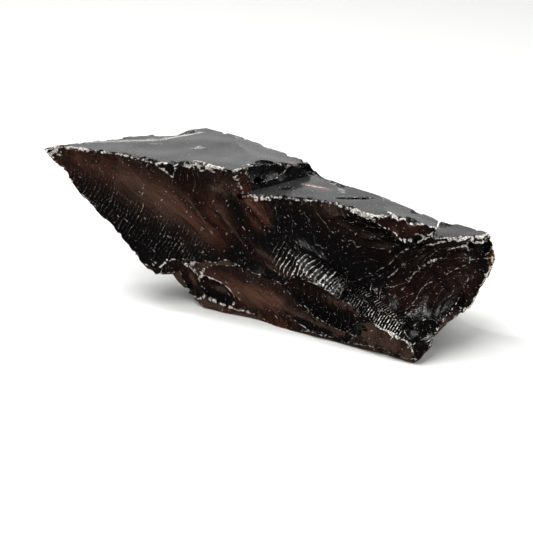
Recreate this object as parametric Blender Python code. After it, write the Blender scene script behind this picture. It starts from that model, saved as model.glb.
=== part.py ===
"""Obsidian chunk: one piece of broken volcanic glass that lies on a flat fracture face.

The chunk is a block bounded by flat fracture faces. Two steps and a bevel are broken out of
its top, and every concave surface is a flake scar: the inside of an ellipsoid that was struck
off. +X runs along the chunk, from its thin tip at -X to its blunt end at +X, the carved front
faces -Y, and the origin is on the flat resting face, under the middle of the stone.

Run with: blender --background --python part.py
"""

import math
from collections import namedtuple

import bmesh
import bpy
from mathutils import Matrix, Vector

PART_NAME = "obsidian_chunk"
MM = 0.001

# Heights of the three flat top faces above the resting face, in mm, from the tip to the blunt end
HIGH_TOP = 58.0
MIDDLE_TOP = 48.4
LOW_TOP = 41.0

# Corners where fracture faces meet, in mm
TIP = (-88.0, -4.0, HIGH_TOP)
TIP_KEEL = (-67.0, 0.0, 29.0)
LEFT_FOOT = (-46.0, -4.0, 13.0)
BASE_LEFT = (-30.0, 2.0, 0.0)
BASE_FRONT = (17.6, -13.7, 0.0)
RIDGE_FOOT = (50.0, -29.0, 8.0)
SHOULDER = (-11.0, -1.0, HIGH_TOP)
BROW = (28.0, -17.0, 48.0)
STEP_CORNER = (59.0, -13.0, 48.0)
BLUNT_CORNER = (74.0, -3.0, LOW_TOP)
BLUNT_BELLY = (76.0, -1.0, 32.0)
BLUNT_HEEL = (69.5, -9.0, 17.0)
BACK_PEAK = (-37.0, 32.0, HIGH_TOP)
BACK_KNEE = (-27.0, 32.0, HIGH_TOP)
BACK_BEND = (-14.0, 26.0, 55.5)

# Each flat face of the block is named and goes through three points in mm
FRACTURE_FACES = {
    "resting_face": ((0, 0, 0), (10, 0, 0), (0, 10, 0)),
    "high_top": ((0, 0, HIGH_TOP), (10, 0, HIGH_TOP), (0, 10, HIGH_TOP)),
    "top_slope": (SHOULDER, BACK_KNEE, (1, 20, 53.5)),
    "front_low": (TIP, LEFT_FOOT, RIDGE_FOOT),
    "front_high": (TIP, BROW, RIDGE_FOOT),
    "front_right": (BROW, STEP_CORNER, RIDGE_FOOT),
    "front_end": ((63, -13, 48), (76, -4, 38), (62, -20, 12)),
    "underside": (LEFT_FOOT, BASE_LEFT, BASE_FRONT),
    "left_end_high": (TIP, TIP_KEEL, (-70, 40, 28)),
    "left_end_low": (TIP_KEEL, LEFT_FOOT, (-40, 36, 9)),
    "left_heel": (LEFT_FOOT, BASE_LEFT, (-24, 30, 0)),
    "back_left": (TIP, BACK_PEAK, (-50, 46, 20)),
    "back_middle": (BACK_PEAK, BACK_BEND, (-20, 48, 16)),
    "back_right": (BACK_BEND, BLUNT_CORNER, (40, 38, 12)),
    "back_keel_left": ((-48, 44, 18), (-12, 46, 20), (-20, 33, 0)),
    "back_keel_right": ((10, 44, 14), (60, 18, 12), (30, 32, 0)),
    "blunt_end_high": (BLUNT_CORNER, BLUNT_BELLY, (70, 20, 33)),
    "blunt_end_low": ((75.5, -3, 29), BLUNT_HEEL, (68, 10, 22)),
    "blunt_heel": (BLUNT_HEEL, (54, -27, 0.5), (56, 14, 8)),
}

# A point inside the block, which tells the two sides of each face apart
BLOCK_MIDDLE = (0.0, 5.0, 25.0)
BLOCK_REACH = 400.0

# Walls of the two steps: a point of the wall and the way it faces, towards the blunt end
MIDDLE_STEP_WALL = ((-9, -2, 50), (0.80, -0.60, -0.10))
LOW_STEP_WALL = ((57.5, -12, 45), (0.95, 0.10, -0.30))
BACK_BEVEL = ((20, 12, MIDDLE_TOP), (0.35, 0.61, 0.71))

# Two flat faces that meet in a corner cut into the left foot, each with the way into the stone
FOOT_FACE = ((-29.5, -2.4, 19), (0.32, 0.93, 0.17))
FOOT_CEILING = ((-33, -2, 17.3), (-0.36, 0.45, 0.85))

# The bevel runs this far past both step walls, in mm, so that no thin fin is left between the cuts
BEVEL_OVERRUN = 1.0

# A flake scar: its deepest point in mm, the way it opens, the way its long side runs, its radii
# along, across and into the stone in mm, and how finely its surface is faceted
Scar = namedtuple("Scar", "name deepest opens along radii facets")

FINE = 5
COARSE = 4

# The hollows that were struck first, which left the round ridge standing between them
FIRST_SCARS = [
    Scar("long_flute", (-48, 1.5, 34), (-0.10, -0.99, 0.05), (0.88, -0.12, -0.45), (57, 27, 26), FINE),
    Scar("side_flute", (-10, -5.5, 37), (-0.10, -0.99, 0.10), (0.72, -0.29, -0.63), (36, 16, 16), COARSE),
    Scar("front_hollow", (20, -7, 32), (0.15, -0.88, 0.40), (0.85, -0.25, -0.42), (42, 21, 19), FINE),
    Scar("end_hollow", (59, -11.5, 30), (0.20, -0.95, 0.20), (0.60, 0.10, 0.75), (24, 16, 18), COARSE),
    Scar("end_terrace", (57, -9.5, 26), (0.15, -0.95, 0.15), (0.70, 0.10, 0.60), (20, 12, 14), COARSE),
]

LATER_SCARS = [
    Scar("end_ledge", (60, -13.5, 40), (0.30, -0.90, 0.25), (0.95, 0.30, 0.10), (22, 6, 6), COARSE),
    Scar("under_ridge", (17, -10, 12.5), (0.00, -0.95, -0.10), (0.90, -0.30, -0.30), (18, 7, 10), COARSE),
    Scar("notch", (0.5, 8.5, 51.8), (0.35, -0.70, 0.62), (0.62, 0.78, 0.00), (17, 8, 10), COARSE),
    Scar("dimple", (53.5, -20, 11.5), (0.30, -0.90, 0.30), (1, 0, 0), (5.5, 5.5, 4), COARSE),
    Scar("foot_bite", (-36, -2, 8), (-0.50, -0.50, -0.60), (0.70, -0.20, -0.60), (12, 9, 5), COARSE),
    Scar("lower_flank", (-10, -5, 12), (-0.25, -0.85, -0.30), (0.95, -0.30, -0.20), (36, 14, 11), COARSE),
    Scar("corner_bite", (61, -17, 11), (0.80, -0.20, -0.50), (0.40, -0.40, 0.70), (10, 7, 3), COARSE),
    Scar("foot_strip", (4, -9, 5), (-0.10, -0.80, 0.60), (0.95, -0.20, -0.25), (60, 8, 30), COARSE),
    Scar("base_flake", (-16, -2.6, 2.2), (-0.15, -0.80, -0.58), (0.95, -0.28, -0.10), (24, 6, 12), COARSE),
    Scar("back_sweep", (-50, 30, 30), (-0.45, 0.80, 0.30), (0.80, 0.30, -0.50), (90, 38, 44), FINE),
    Scar("back_flute", (-12, 35, 30), (0.10, 0.90, 0.30), (0.45, 0.10, -0.80), (80, 30, 34), FINE),
    Scar("back_flake", (26, 26, 22), (0.30, 0.88, 0.30), (0.25, -0.10, -0.90), (60, 27, 30), COARSE),
    Scar("back_end_flake", (56, 9, 24), (0.50, 0.80, 0.30), (0.20, -0.30, -0.90), (60, 20, 26), COARSE),
    Scar("left_end_flake", (-51, 24, 32), (-0.72, 0.00, -0.60), (-0.50, 0.50, 0.70), (80, 30, 60), FINE),
    Scar("left_heel_flake", (-32, 22, 9), (-0.50, 0.20, -0.80), (0.10, 0.90, 0.10), (60, 26, 40), COARSE),
    Scar("blunt_end_flake", (67, 10, 26), (0.95, 0.15, -0.10), (0.00, 0.50, 0.80), (60, 26, 40), COARSE),
    Scar("blunt_heel_flake", (57, 2, 8), (0.75, 0.10, -0.60), (0.20, 0.90, 0.10), (50, 14, 20), COARSE),
]

# The points of the ridge's axis, each with the ridge's radius there, in mm
RIDGE_AXIS = [((-19.0, -1.0, 43.0), 3.0), ((-4.0, -7.0, 30.8), 4.6), ((47.5, -22.6, 8.6), 5.5)]

# Ripples that cross the ridge
RIPPLE_START = (1.6, -12.6, 29.4)
RIPPLE_END = (41.7, -25.4, 12.3)
RIPPLE_COUNT = 9
RIPPLE_RADII = (5.5, 2.2, 1.2)
RIPPLE_OPENS = (-0.10, -0.92, 0.30)
RIPPLE_RUNS = (0.43, 0.23, 0.84)

GLASS_COLOR = (0.012, 0.010, 0.010, 1.0)
GLASS_ROUGHNESS = 0.12
GLASS_IOR = 1.49
CREASE_ANGLE = math.radians(24.0)

# Edges shorter than this are merged after the cuts
SLIVER = 0.08 * MM


def metres(point):
    """A point or a length vector given in mm, in metres."""
    return Vector(point) * MM


def clear_scene():
    for old in list(bpy.data.objects):
        bpy.data.objects.remove(old)


def make_collection(name):
    collection = bpy.data.collections.new(name)
    bpy.context.scene.collection.children.link(collection)
    return collection


def obsidian():
    material = bpy.data.materials.new("obsidian")
    material.use_nodes = True
    shader = material.node_tree.nodes["Principled BSDF"]
    shader.inputs["Base Color"].default_value = GLASS_COLOR
    shader.inputs["Roughness"].default_value = GLASS_ROUGHNESS
    shader.inputs["IOR"].default_value = GLASS_IOR
    return material


def slice_off(solid, point, outward):
    """Cut the bmesh flat through a point, drop what lies outward, and close the cut."""
    geometry = solid.verts[:] + solid.edges[:] + solid.faces[:]
    cut = bmesh.ops.bisect_plane(
        solid, geom=geometry, plane_co=point, plane_no=outward, clear_outer=True
    )
    rim = [item for item in cut["geom_cut"] if isinstance(item, bmesh.types.BMEdge)]
    if rim:
        bmesh.ops.holes_fill(solid, edges=rim)


def outward_normal(corners):
    """The normal of the face through three points, on the side away from the block's middle."""
    first, second, third = (metres(corner) for corner in corners)
    normal = (second - first).cross(third - first).normalized()
    if normal.dot(metres(BLOCK_MIDDLE) - first) > 0:
        normal.negate()
    return normal


def new_block():
    solid = bmesh.new()
    bmesh.ops.create_cube(solid, size=BLOCK_REACH * MM)
    return solid


def add_object(name, solid, collection):
    """Put a bmesh in a named object of a collection."""
    bmesh.ops.recalc_face_normals(solid, faces=solid.faces[:])
    mesh = bpy.data.meshes.new(name)
    solid.to_mesh(mesh)
    solid.free()
    thing = bpy.data.objects.new(name, mesh)
    collection.objects.link(thing)
    return thing


def make_block(collection):
    """The cube that the fracture faces bound."""
    solid = new_block()
    for corners in FRACTURE_FACES.values():
        slice_off(solid, metres(corners[0]), outward_normal(corners))
    return add_object(PART_NAME, solid, collection)


def make_cutter(name, solid, collection):
    cutter = add_object(name, solid, collection)
    cutter.hide_render = True
    cutter.display_type = "WIRE"
    return cutter


def make_step(name, walls, collection):
    """A cutter bounded by flat walls, each given by a point in mm and the way it faces outward."""
    solid = new_block()
    for point, outward in walls:
        slice_off(solid, metres(point), Vector(outward).normalized())
    return make_cutter(name, solid, collection)


def turned(wall):
    """The same wall, facing the other way."""
    point, outward = wall
    return point, tuple(-value for value in outward)


def shifted(wall, distance):
    """The same wall, moved the way it faces by a distance in mm."""
    point, outward = wall
    return Vector(point) + Vector(outward).normalized() * distance, outward


def make_steps(collection):
    above_middle = ((0, 0, MIDDLE_TOP), (0, 0, -1))
    above_low = ((0, 0, LOW_TOP), (0, 0, -1))
    return [
        make_step("middle_step", [above_middle, turned(MIDDLE_STEP_WALL)], collection),
        make_step("low_step", [above_low, turned(LOW_STEP_WALL)], collection),
        make_step(
            "back_bevel",
            [
                turned(BACK_BEVEL),
                shifted(turned(MIDDLE_STEP_WALL), BEVEL_OVERRUN),
                shifted(LOW_STEP_WALL, BEVEL_OVERRUN),
            ],
            collection,
        ),
        make_step("foot_cut", [FOOT_FACE, FOOT_CEILING], collection),
    ]


def scar_matrix(deepest, opens, along, radii):
    """The matrix that turns a unit ball into the ellipsoid that leaves the scar."""
    depth_axis = Vector(opens).normalized()
    long_axis = Vector(along)
    long_axis = (long_axis - depth_axis * long_axis.dot(depth_axis)).normalized()
    across_axis = depth_axis.cross(long_axis)
    frame = Matrix((long_axis, across_axis, depth_axis)).transposed().to_4x4()
    center = metres(deepest) + depth_axis * radii[2] * MM
    return Matrix.Translation(center) @ frame @ Matrix.Diagonal((*metres(radii), 1.0))


def make_scar(scar, collection):
    solid = bmesh.new()
    shape = scar_matrix(scar.deepest, scar.opens, scar.along, scar.radii)
    bmesh.ops.create_icosphere(solid, subdivisions=scar.facets, radius=1.0, matrix=shape)
    return make_cutter(scar.name, solid, collection)


def make_ridge(collection):
    """A round spine in one length for each pair of points of its axis."""
    lengths = []
    for index, ends in enumerate(zip(RIDGE_AXIS, RIDGE_AXIS[1:])):
        solid = bmesh.new()
        for center, radius in ends:
            bmesh.ops.create_icosphere(
                solid,
                subdivisions=COARSE - 1,
                radius=radius * MM,
                matrix=Matrix.Translation(metres(center)),
            )
        bmesh.ops.delete(solid, geom=solid.edges[:], context="EDGES_FACES")
        hull = bmesh.ops.convex_hull(solid, input=solid.verts[:])
        inside = [item for item in hull["geom_interior"] if isinstance(item, bmesh.types.BMVert)]
        bmesh.ops.delete(solid, geom=inside, context="VERTS")
        lengths.append(make_cutter(f"ridge_{index + 1}", solid, collection))
    return lengths


def make_ripples(collection):
    """Shallow grooves side by side along the crest, each running across it."""
    start = Vector(RIPPLE_START)
    end = Vector(RIPPLE_END)
    ripples = []
    for index in range(RIPPLE_COUNT):
        place = start.lerp(end, index / (RIPPLE_COUNT - 1))
        ripple = Scar(
            f"ripple_{index + 1}", place, RIPPLE_OPENS, RIPPLE_RUNS, RIPPLE_RADII, COARSE - 1
        )
        ripples.append(make_scar(ripple, collection))
    return ripples


def carve(block, cutters, operation="DIFFERENCE"):
    """Take every cutter out of a block, or join it to the block, one after another."""
    for cutter in cutters:
        cut = block.modifiers.new(cutter.name, "BOOLEAN")
        cut.operation = operation
        cut.solver = "EXACT"
        cut.object = cutter
    depsgraph = bpy.context.evaluated_depsgraph_get()
    carved = bpy.data.meshes.new_from_object(block.evaluated_get(depsgraph))
    carved.name = block.name
    block.modifiers.clear()
    block.data = carved


def tidy_mesh(mesh):
    """Merge the slivers that the cuts leave where three or more surfaces meet."""
    solid = bmesh.new()
    solid.from_mesh(mesh)
    bmesh.ops.remove_doubles(solid, verts=solid.verts[:], dist=SLIVER)
    bmesh.ops.dissolve_degenerate(solid, edges=solid.edges[:], dist=SLIVER)
    bmesh.ops.triangulate(solid, faces=solid.faces[:])
    solid.to_mesh(mesh)
    solid.free()


def main():
    clear_scene()
    part_collection = make_collection(PART_NAME)
    cutter_collection = make_collection("cutters")
    chunk = make_block(part_collection)
    cutters = make_steps(cutter_collection)
    ridge = make_ridge(cutter_collection)
    hollow, *more_hollows = [make_scar(scar, cutter_collection) for scar in FIRST_SCARS]
    carve(hollow, more_hollows, operation="UNION")
    carve(hollow, ridge)
    cutters.append(hollow)
    cutters += [make_scar(scar, cutter_collection) for scar in LATER_SCARS]
    cutters += make_ripples(cutter_collection)
    carve(chunk, cutters)
    tidy_mesh(chunk.data)
    chunk.data.materials.clear()
    chunk.data.materials.append(obsidian())
    chunk.data.shade_smooth()
    chunk.data.set_sharp_from_angle(angle=CREASE_ANGLE)


main()
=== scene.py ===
"""Obsidian chunk: a hand-sized piece of broken volcanic glass on a pale studio floor.

The stone is worked out the way it was broken. Flat fracture faces bound a block, two steps and
a bevel break its top, and every hollow is the scar of a flake: the inside of an ellipsoid that was
struck off. The faces, steps and scars are those of the solid, with the finer relief of real glass
on them: undulations, small flakes, edge chips and rounded crests. A field that is below zero
inside the stone holds all of it, a mesh is drawn on its zero level, and Geometry Nodes raise the
ripples that run out from where each flake was struck.

Lengths named *_MM and the points of faces and scars are in millimetres. +X runs from the thin tip
at -X to the blunt end, the carved front faces -Y, and z = 0 is the flat resting face.
"""

import math
from collections import namedtuple
from functools import partial

import bpy
import numpy as np
from bpy.props import FloatProperty, FloatVectorProperty, IntProperty, PointerProperty
from mathutils import Matrix, Vector


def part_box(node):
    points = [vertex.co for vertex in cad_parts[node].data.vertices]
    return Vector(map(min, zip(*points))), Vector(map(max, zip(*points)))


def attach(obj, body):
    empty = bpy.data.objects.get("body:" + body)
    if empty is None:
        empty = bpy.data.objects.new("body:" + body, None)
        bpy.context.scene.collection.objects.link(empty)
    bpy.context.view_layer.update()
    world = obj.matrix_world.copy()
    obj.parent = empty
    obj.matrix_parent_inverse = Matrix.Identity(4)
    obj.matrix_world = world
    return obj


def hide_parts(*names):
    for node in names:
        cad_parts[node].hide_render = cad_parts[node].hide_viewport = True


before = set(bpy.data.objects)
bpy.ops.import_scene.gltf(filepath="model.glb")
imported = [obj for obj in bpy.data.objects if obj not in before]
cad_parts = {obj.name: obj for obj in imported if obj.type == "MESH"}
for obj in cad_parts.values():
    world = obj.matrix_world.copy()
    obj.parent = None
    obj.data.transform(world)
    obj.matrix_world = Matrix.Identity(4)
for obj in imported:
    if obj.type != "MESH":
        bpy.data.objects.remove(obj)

bl_info = {
    "name": "Obsidian Chunk",
    "version": (1, 0, 0),
    "blender": (4, 5, 0),
    "location": "3D Viewport > Sidebar > Obsidian",
    "description": "Builds a broken chunk of volcanic glass and a plain studio around it",
    "category": "Object",
}

STONE = "obsidian_chunk"
MM = 0.001
SEED = 7

# --------------------------------------
# The block and its breaks, in mm
# --------------------------------------

HIGH_TOP = 58.0
MIDDLE_TOP = 48.4
LOW_TOP = 41.0

TIP = (-88.0, -4.0, HIGH_TOP)
TIP_KEEL = (-67.0, 0.0, 29.0)
LEFT_FOOT = (-46.0, -4.0, 13.0)
BASE_LEFT = (-30.0, 2.0, 0.0)
BASE_FRONT = (17.6, -13.7, 0.0)
RIDGE_FOOT = (50.0, -29.0, 8.0)
SHOULDER = (-11.0, -1.0, HIGH_TOP)
BROW = (28.0, -17.0, 48.0)
STEP_CORNER = (59.0, -13.0, 48.0)
BLUNT_CORNER = (74.0, -3.0, LOW_TOP)
BLUNT_BELLY = (76.0, -1.0, 32.0)
BLUNT_HEEL = (69.5, -9.0, 17.0)
BACK_PEAK = (-37.0, 32.0, HIGH_TOP)
BACK_KNEE = (-27.0, 32.0, HIGH_TOP)
BACK_BEND = (-14.0, 26.0, 55.5)

# Each flat face goes through three points
FRACTURE_FACES = {
    "resting_face": ((0, 0, 0), (10, 0, 0), (0, 10, 0)),
    "high_top": ((0, 0, HIGH_TOP), (10, 0, HIGH_TOP), (0, 10, HIGH_TOP)),
    "top_slope": (SHOULDER, BACK_KNEE, (1, 20, 53.5)),
    "front_low": (TIP, LEFT_FOOT, RIDGE_FOOT),
    "front_high": (TIP, BROW, RIDGE_FOOT),
    "front_right": (BROW, STEP_CORNER, RIDGE_FOOT),
    "front_end": ((63, -13, 48), (76, -4, 38), (62, -20, 12)),
    "underside": (LEFT_FOOT, BASE_LEFT, BASE_FRONT),
    "left_end_high": (TIP, TIP_KEEL, (-70, 40, 28)),
    "left_end_low": (TIP_KEEL, LEFT_FOOT, (-40, 36, 9)),
    "left_heel": (LEFT_FOOT, BASE_LEFT, (-24, 30, 0)),
    "back_left": (TIP, BACK_PEAK, (-50, 46, 20)),
    "back_middle": (BACK_PEAK, BACK_BEND, (-20, 48, 16)),
    "back_right": (BACK_BEND, BLUNT_CORNER, (40, 38, 12)),
    "back_keel_left": ((-48, 44, 18), (-12, 46, 20), (-20, 33, 0)),
    "back_keel_right": ((10, 44, 14), (60, 18, 12), (30, 32, 0)),
    "blunt_end_high": (BLUNT_CORNER, BLUNT_BELLY, (70, 20, 33)),
    "blunt_end_low": ((75.5, -3, 29), BLUNT_HEEL, (68, 10, 22)),
    "blunt_heel": (BLUNT_HEEL, (54, -27, 0.5), (56, 14, 8)),
}
BLOCK_MIDDLE = (0.0, 5.0, 25.0)

# A wall is a point and the way it faces
MIDDLE_STEP_WALL = ((-9, -2, 50), (0.80, -0.60, -0.10))
LOW_STEP_WALL = ((57.5, -12, 45), (0.95, 0.10, -0.30))
BACK_BEVEL_WALL = ((20, 12, MIDDLE_TOP), (0.35, 0.61, 0.71))
BEVEL_OVERRUN = 1.0
# Two flat faces that meet in a corner cut into the left foot, each with the way into the stone
FOOT_FACE = ((-29.5, -2.4, 19), (0.32, 0.93, 0.17))
FOOT_CEILING = ((-33, -2, 17.3), (-0.36, 0.45, 0.85))

# A flake scar: its deepest point, the way it opens, the way its long side runs, and its radii
# along, across and into the stone
Scar = namedtuple("Scar", "deepest opens along radii")

FLAKE_SCARS = {
    "long_flute": Scar((-48, 1.5, 34), (-0.10, -0.99, 0.05), (0.88, -0.12, -0.45), (57, 27, 26)),
    "side_flute": Scar((-10, -5.5, 37), (-0.10, -0.99, 0.10), (0.72, -0.29, -0.63), (36, 16, 16)),
    "front_hollow": Scar((21, -7, 30.2), (0.15, -0.90, 0.36), (0.92, -0.20, -0.34), (42, 16, 18)),
    "brow_hollow": Scar((8, -6.5, 39), (0.05, -0.93, 0.35), (0.97, -0.20, -0.12), (26, 17, 15)),
    "end_hollow": Scar((59, -11.5, 30), (0.20, -0.95, 0.20), (0.60, 0.10, 0.75), (24, 16, 18)),
    "end_terrace": Scar((57, -9.5, 26), (0.15, -0.95, 0.15), (0.70, 0.10, 0.60), (20, 12, 14)),
    "end_ledge": Scar((60, -13.5, 40), (0.30, -0.90, 0.25), (0.95, 0.30, 0.10), (22, 6, 6)),
    "under_ridge": Scar((16.5, -11, 14.2), (0.00, -0.95, 0.00), (0.90, -0.30, -0.33), (19, 8, 10)),
    "notch": Scar((0.5, 8.5, 51.8), (0.35, -0.70, 0.62), (0.62, 0.78, 0.00), (17, 8, 10)),
    "ridge_face": Scar((40, -23.2, 14.2), (0.01, -0.85, 0.52), (0.89, -0.23, -0.40), (30, 9, 14)),
    "dimple": Scar((53.5, -20, 11.5), (0.30, -0.90, 0.30), (1, 0, 0), (5.5, 5.5, 4)),
    "foot_bite": Scar((-36, -2, 8), (-0.50, -0.50, -0.60), (0.70, -0.20, -0.60), (12, 9, 5)),
    "lower_flank": Scar((-10, -4.8, 13), (-0.25, -0.87, -0.25), (0.95, -0.30, -0.20), (36, 17, 12)),
    "corner_bite": Scar((61, -17, 11), (0.80, -0.20, -0.50), (0.40, -0.40, 0.70), (10, 7, 3)),
    "foot_cup": Scar((-21.5, -0.4, 6.0), (-0.20, -0.93, 0.30), (0.91, -0.15, -0.35), (13, 6.5, 9)),
    "heel_cup": Scar((-31.5, 1.6, 10), (-0.50, -0.82, -0.20), (0.45, -0.10, -0.90), (12, 6, 8)),
    "foot_strip": Scar((4, -9, 5), (-0.10, -0.80, 0.60), (0.95, -0.20, -0.25), (60, 8, 30)),
    "base_flake": Scar((-16, -2.6, 2.2), (-0.15, -0.80, -0.58), (0.95, -0.28, -0.10), (24, 6, 12)),
    "back_groove": Scar((-43, 26.2, 56.4), (-0.15, -0.25, 0.95), (0.82, 0.57, 0.00), (13, 2.8, 3)),
    "slit": Scar((26.2, -0.9, 47.7), (0.00, -0.10, 0.99), (0.97, 0.26, 0.00), (7.2, 1.2, 1.2)),
    "tip_break": Scar((-87.4, -3.5, 57.3), (-0.95, -0.10, 0.20), (0.00, 1.00, 0.00), (9, 9, 5)),
    "tip_bite": Scar((-82.5, -3.0, 55.0), (-0.30, -0.85, 0.40), (0.60, -0.20, -0.70), (5, 3, 2.4)),
    "tip_flake": Scar((-75, -2.8, 54.6), (0.00, -0.85, 0.50), (0.85, 0.00, -0.50), (7, 3.4, 2.6)),
    "back_sweep": Scar((-50, 30, 30), (-0.45, 0.80, 0.30), (0.80, 0.30, -0.50), (90, 38, 44)),
    "back_flute": Scar((-12, 35, 30), (0.10, 0.90, 0.30), (0.45, 0.10, -0.80), (80, 30, 34)),
    "back_flake": Scar((26, 26, 22), (0.30, 0.88, 0.30), (0.25, -0.10, -0.90), (60, 27, 30)),
    "back_end_flake": Scar((56, 9, 24), (0.50, 0.80, 0.30), (0.20, -0.30, -0.90), (60, 20, 26)),
    "left_end_flake": Scar((-51, 24, 32), (-0.72, 0.00, -0.60), (-0.50, 0.50, 0.70), (80, 30, 60)),
    "left_heel_flake": Scar((-32, 22, 9), (-0.50, 0.20, -0.80), (0.10, 0.90, 0.10), (60, 26, 40)),
    "blunt_end_flake": Scar((67, 10, 26), (0.95, 0.15, -0.10), (0.00, 0.50, 0.80), (60, 26, 40)),
    "blunt_heel_flake": Scar((57, 2, 8), (0.75, 0.10, -0.60), (0.20, 0.90, 0.10), (50, 14, 20)),
}

# The flakes that were struck before the ridge was left standing between them
FIRST_SCARS = (
    "long_flute", "side_flute", "front_hollow", "brow_hollow", "end_hollow", "end_terrace"
)

# The ridge is a round spine: the points of its axis with its radius at each
RIDGE_AXIS = (((-19.0, -1.0, 43.0), 3.0), ((-4.0, -7.0, 30.8), 4.6), ((47.5, -22.6, 8.6), 5.5))
RIDGE_FOOT_BLEND_MM = 4.0

# A line from start to end, with a width or strength that fades out at its reach
Crest = namedtuple("Crest", "start end reach width")

# Along these lines two of those hollows run into each other over a soft roll
ROLLS = (
    Crest((-26, -6, 48), (-10, -10, 24), 13.0, 16.0),
    Crest((47, -12, 36), (46, -16, 14), 13.0, 12.0),
)

# Steps inside a hollow: the scars that carry it, the middle and the radius of its round edge, how
# deep it drops and how far inwards it fades
Terrace = namedtuple("Terrace", "scars middle radius drop fade")

END_SCARS = ("front_hollow", "end_hollow", "end_terrace", "front_end")
TERRACES = (
    Terrace(END_SCARS, (75, -16, 5), 34.0, 0.9, 14.0),
    Terrace(END_SCARS, (74, -16, 4), 38.5, 0.45, 4.0),
    Terrace(END_SCARS, (76, -16, 5), 29.0, 0.4, 5.0),
    Terrace(END_SCARS, (74, -16, 2), 43.0, 0.35, 4.0),
)
TERRACE_WALL_MM = 0.35
TERRACE_WAVER = 4.0

# Undulations of the glass: the shortest and longest wave and how many are laid over each other
SWELL_RANGE_MM = (7.0, 26.0)
SWELL_WAVES = 14

# All edges but the rolls and the ridge's foot are knife-sharp, rounded over only this width
EDGE_ROUNDING_MM = 0.15
# The tops are flatter than the other faces: their share of the undulation
TOP_FACES = ("high_top", "top_slope", "middle_step", "low_step")
TOP_UNDULATION = 0.5

# The field is sampled in blocks of this many cells, and only those near the surface in full
BLOCK_CELLS = 4
NEAR_MM = 4.0
FAR_MM = 50.0
GRID_MARGIN_MM = 3.0
# Kept clear of zero before a division
TINY_MM = 1e-9
TINY_RISE = 1e-12


def unit(vector):
    vector = np.asarray(vector, float)
    return vector / np.linalg.norm(vector)


def plane_through(corners):
    """The outward normal and the distance from the origin of the face through three points."""
    first, second, third = (np.asarray(corner, float) for corner in corners)
    normal = unit(np.cross(second - first, third - first))
    if normal @ (np.asarray(BLOCK_MIDDLE) - first) > 0:
        normal = -normal
    return normal, normal @ first


def plane_at(wall, shift=0.0, turned=False):
    """The plane of a wall, moved the way it faces by shift, and turned round where asked."""
    point, faces = wall
    normal = unit(faces)
    if turned:
        normal = -normal
    return normal, normal @ np.asarray(point, float) + shift


def stacked(planes):
    """Normals as the columns of one array, and offsets as another."""
    return np.stack([plane[0] for plane in planes], 1), np.array([plane[1] for plane in planes])


class Bite:
    """An ellipsoid that is taken out of the stone."""

    def __init__(self, scar):
        opens = unit(scar.opens)
        along = np.asarray(scar.along, float)
        along = unit(along - opens * (along @ opens))
        across = np.cross(opens, along)
        radii = np.asarray(scar.radii, float)
        self.center = np.asarray(scar.deepest, float) + opens * radii[2]
        self.to_ball = np.stack([along / radii[0], across / radii[1], opens / radii[2]], 1)
        reach = np.sqrt((np.stack([along, across, opens]) ** 2 * radii[:, None] ** 2).sum(0))
        self.low = self.center - reach - NEAR_MM
        self.high = self.center + reach + NEAR_MM

    def near(self, points):
        """Which points the bite can reach."""
        return np.flatnonzero(((points > self.low) & (points < self.high)).all(1))

    def depth(self, points):
        """How far each point lies inside the bite: above zero inside, below zero outside."""
        ball = (points - self.center) @ self.to_ball
        length = np.sqrt((ball * ball).sum(1)) + TINY_MM
        slope = ball @ self.to_ball.T
        return length * (1.0 - length) / (np.sqrt((slope * slope).sum(1)) + TINY_MM)


class Swell:
    """Smooth undulations: sine waves of random directions and lengths laid over each other."""

    def __init__(self, random, shortest, longest, waves):
        direction = random.normal(size=(waves, 3))
        direction /= np.linalg.norm(direction, axis=1, keepdims=True)
        length = np.exp(random.uniform(math.log(shortest), math.log(longest), waves))
        self.wave = (direction * (2.0 * math.pi / length)[:, None]).T
        self.phase = random.uniform(0.0, 2.0 * math.pi, waves)
        self.height = length / length.sum() * math.sqrt(waves)

    def at(self, points):
        """How high the undulations are at each point."""
        return np.sin(points @ self.wave + self.phase) @ self.height


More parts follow.
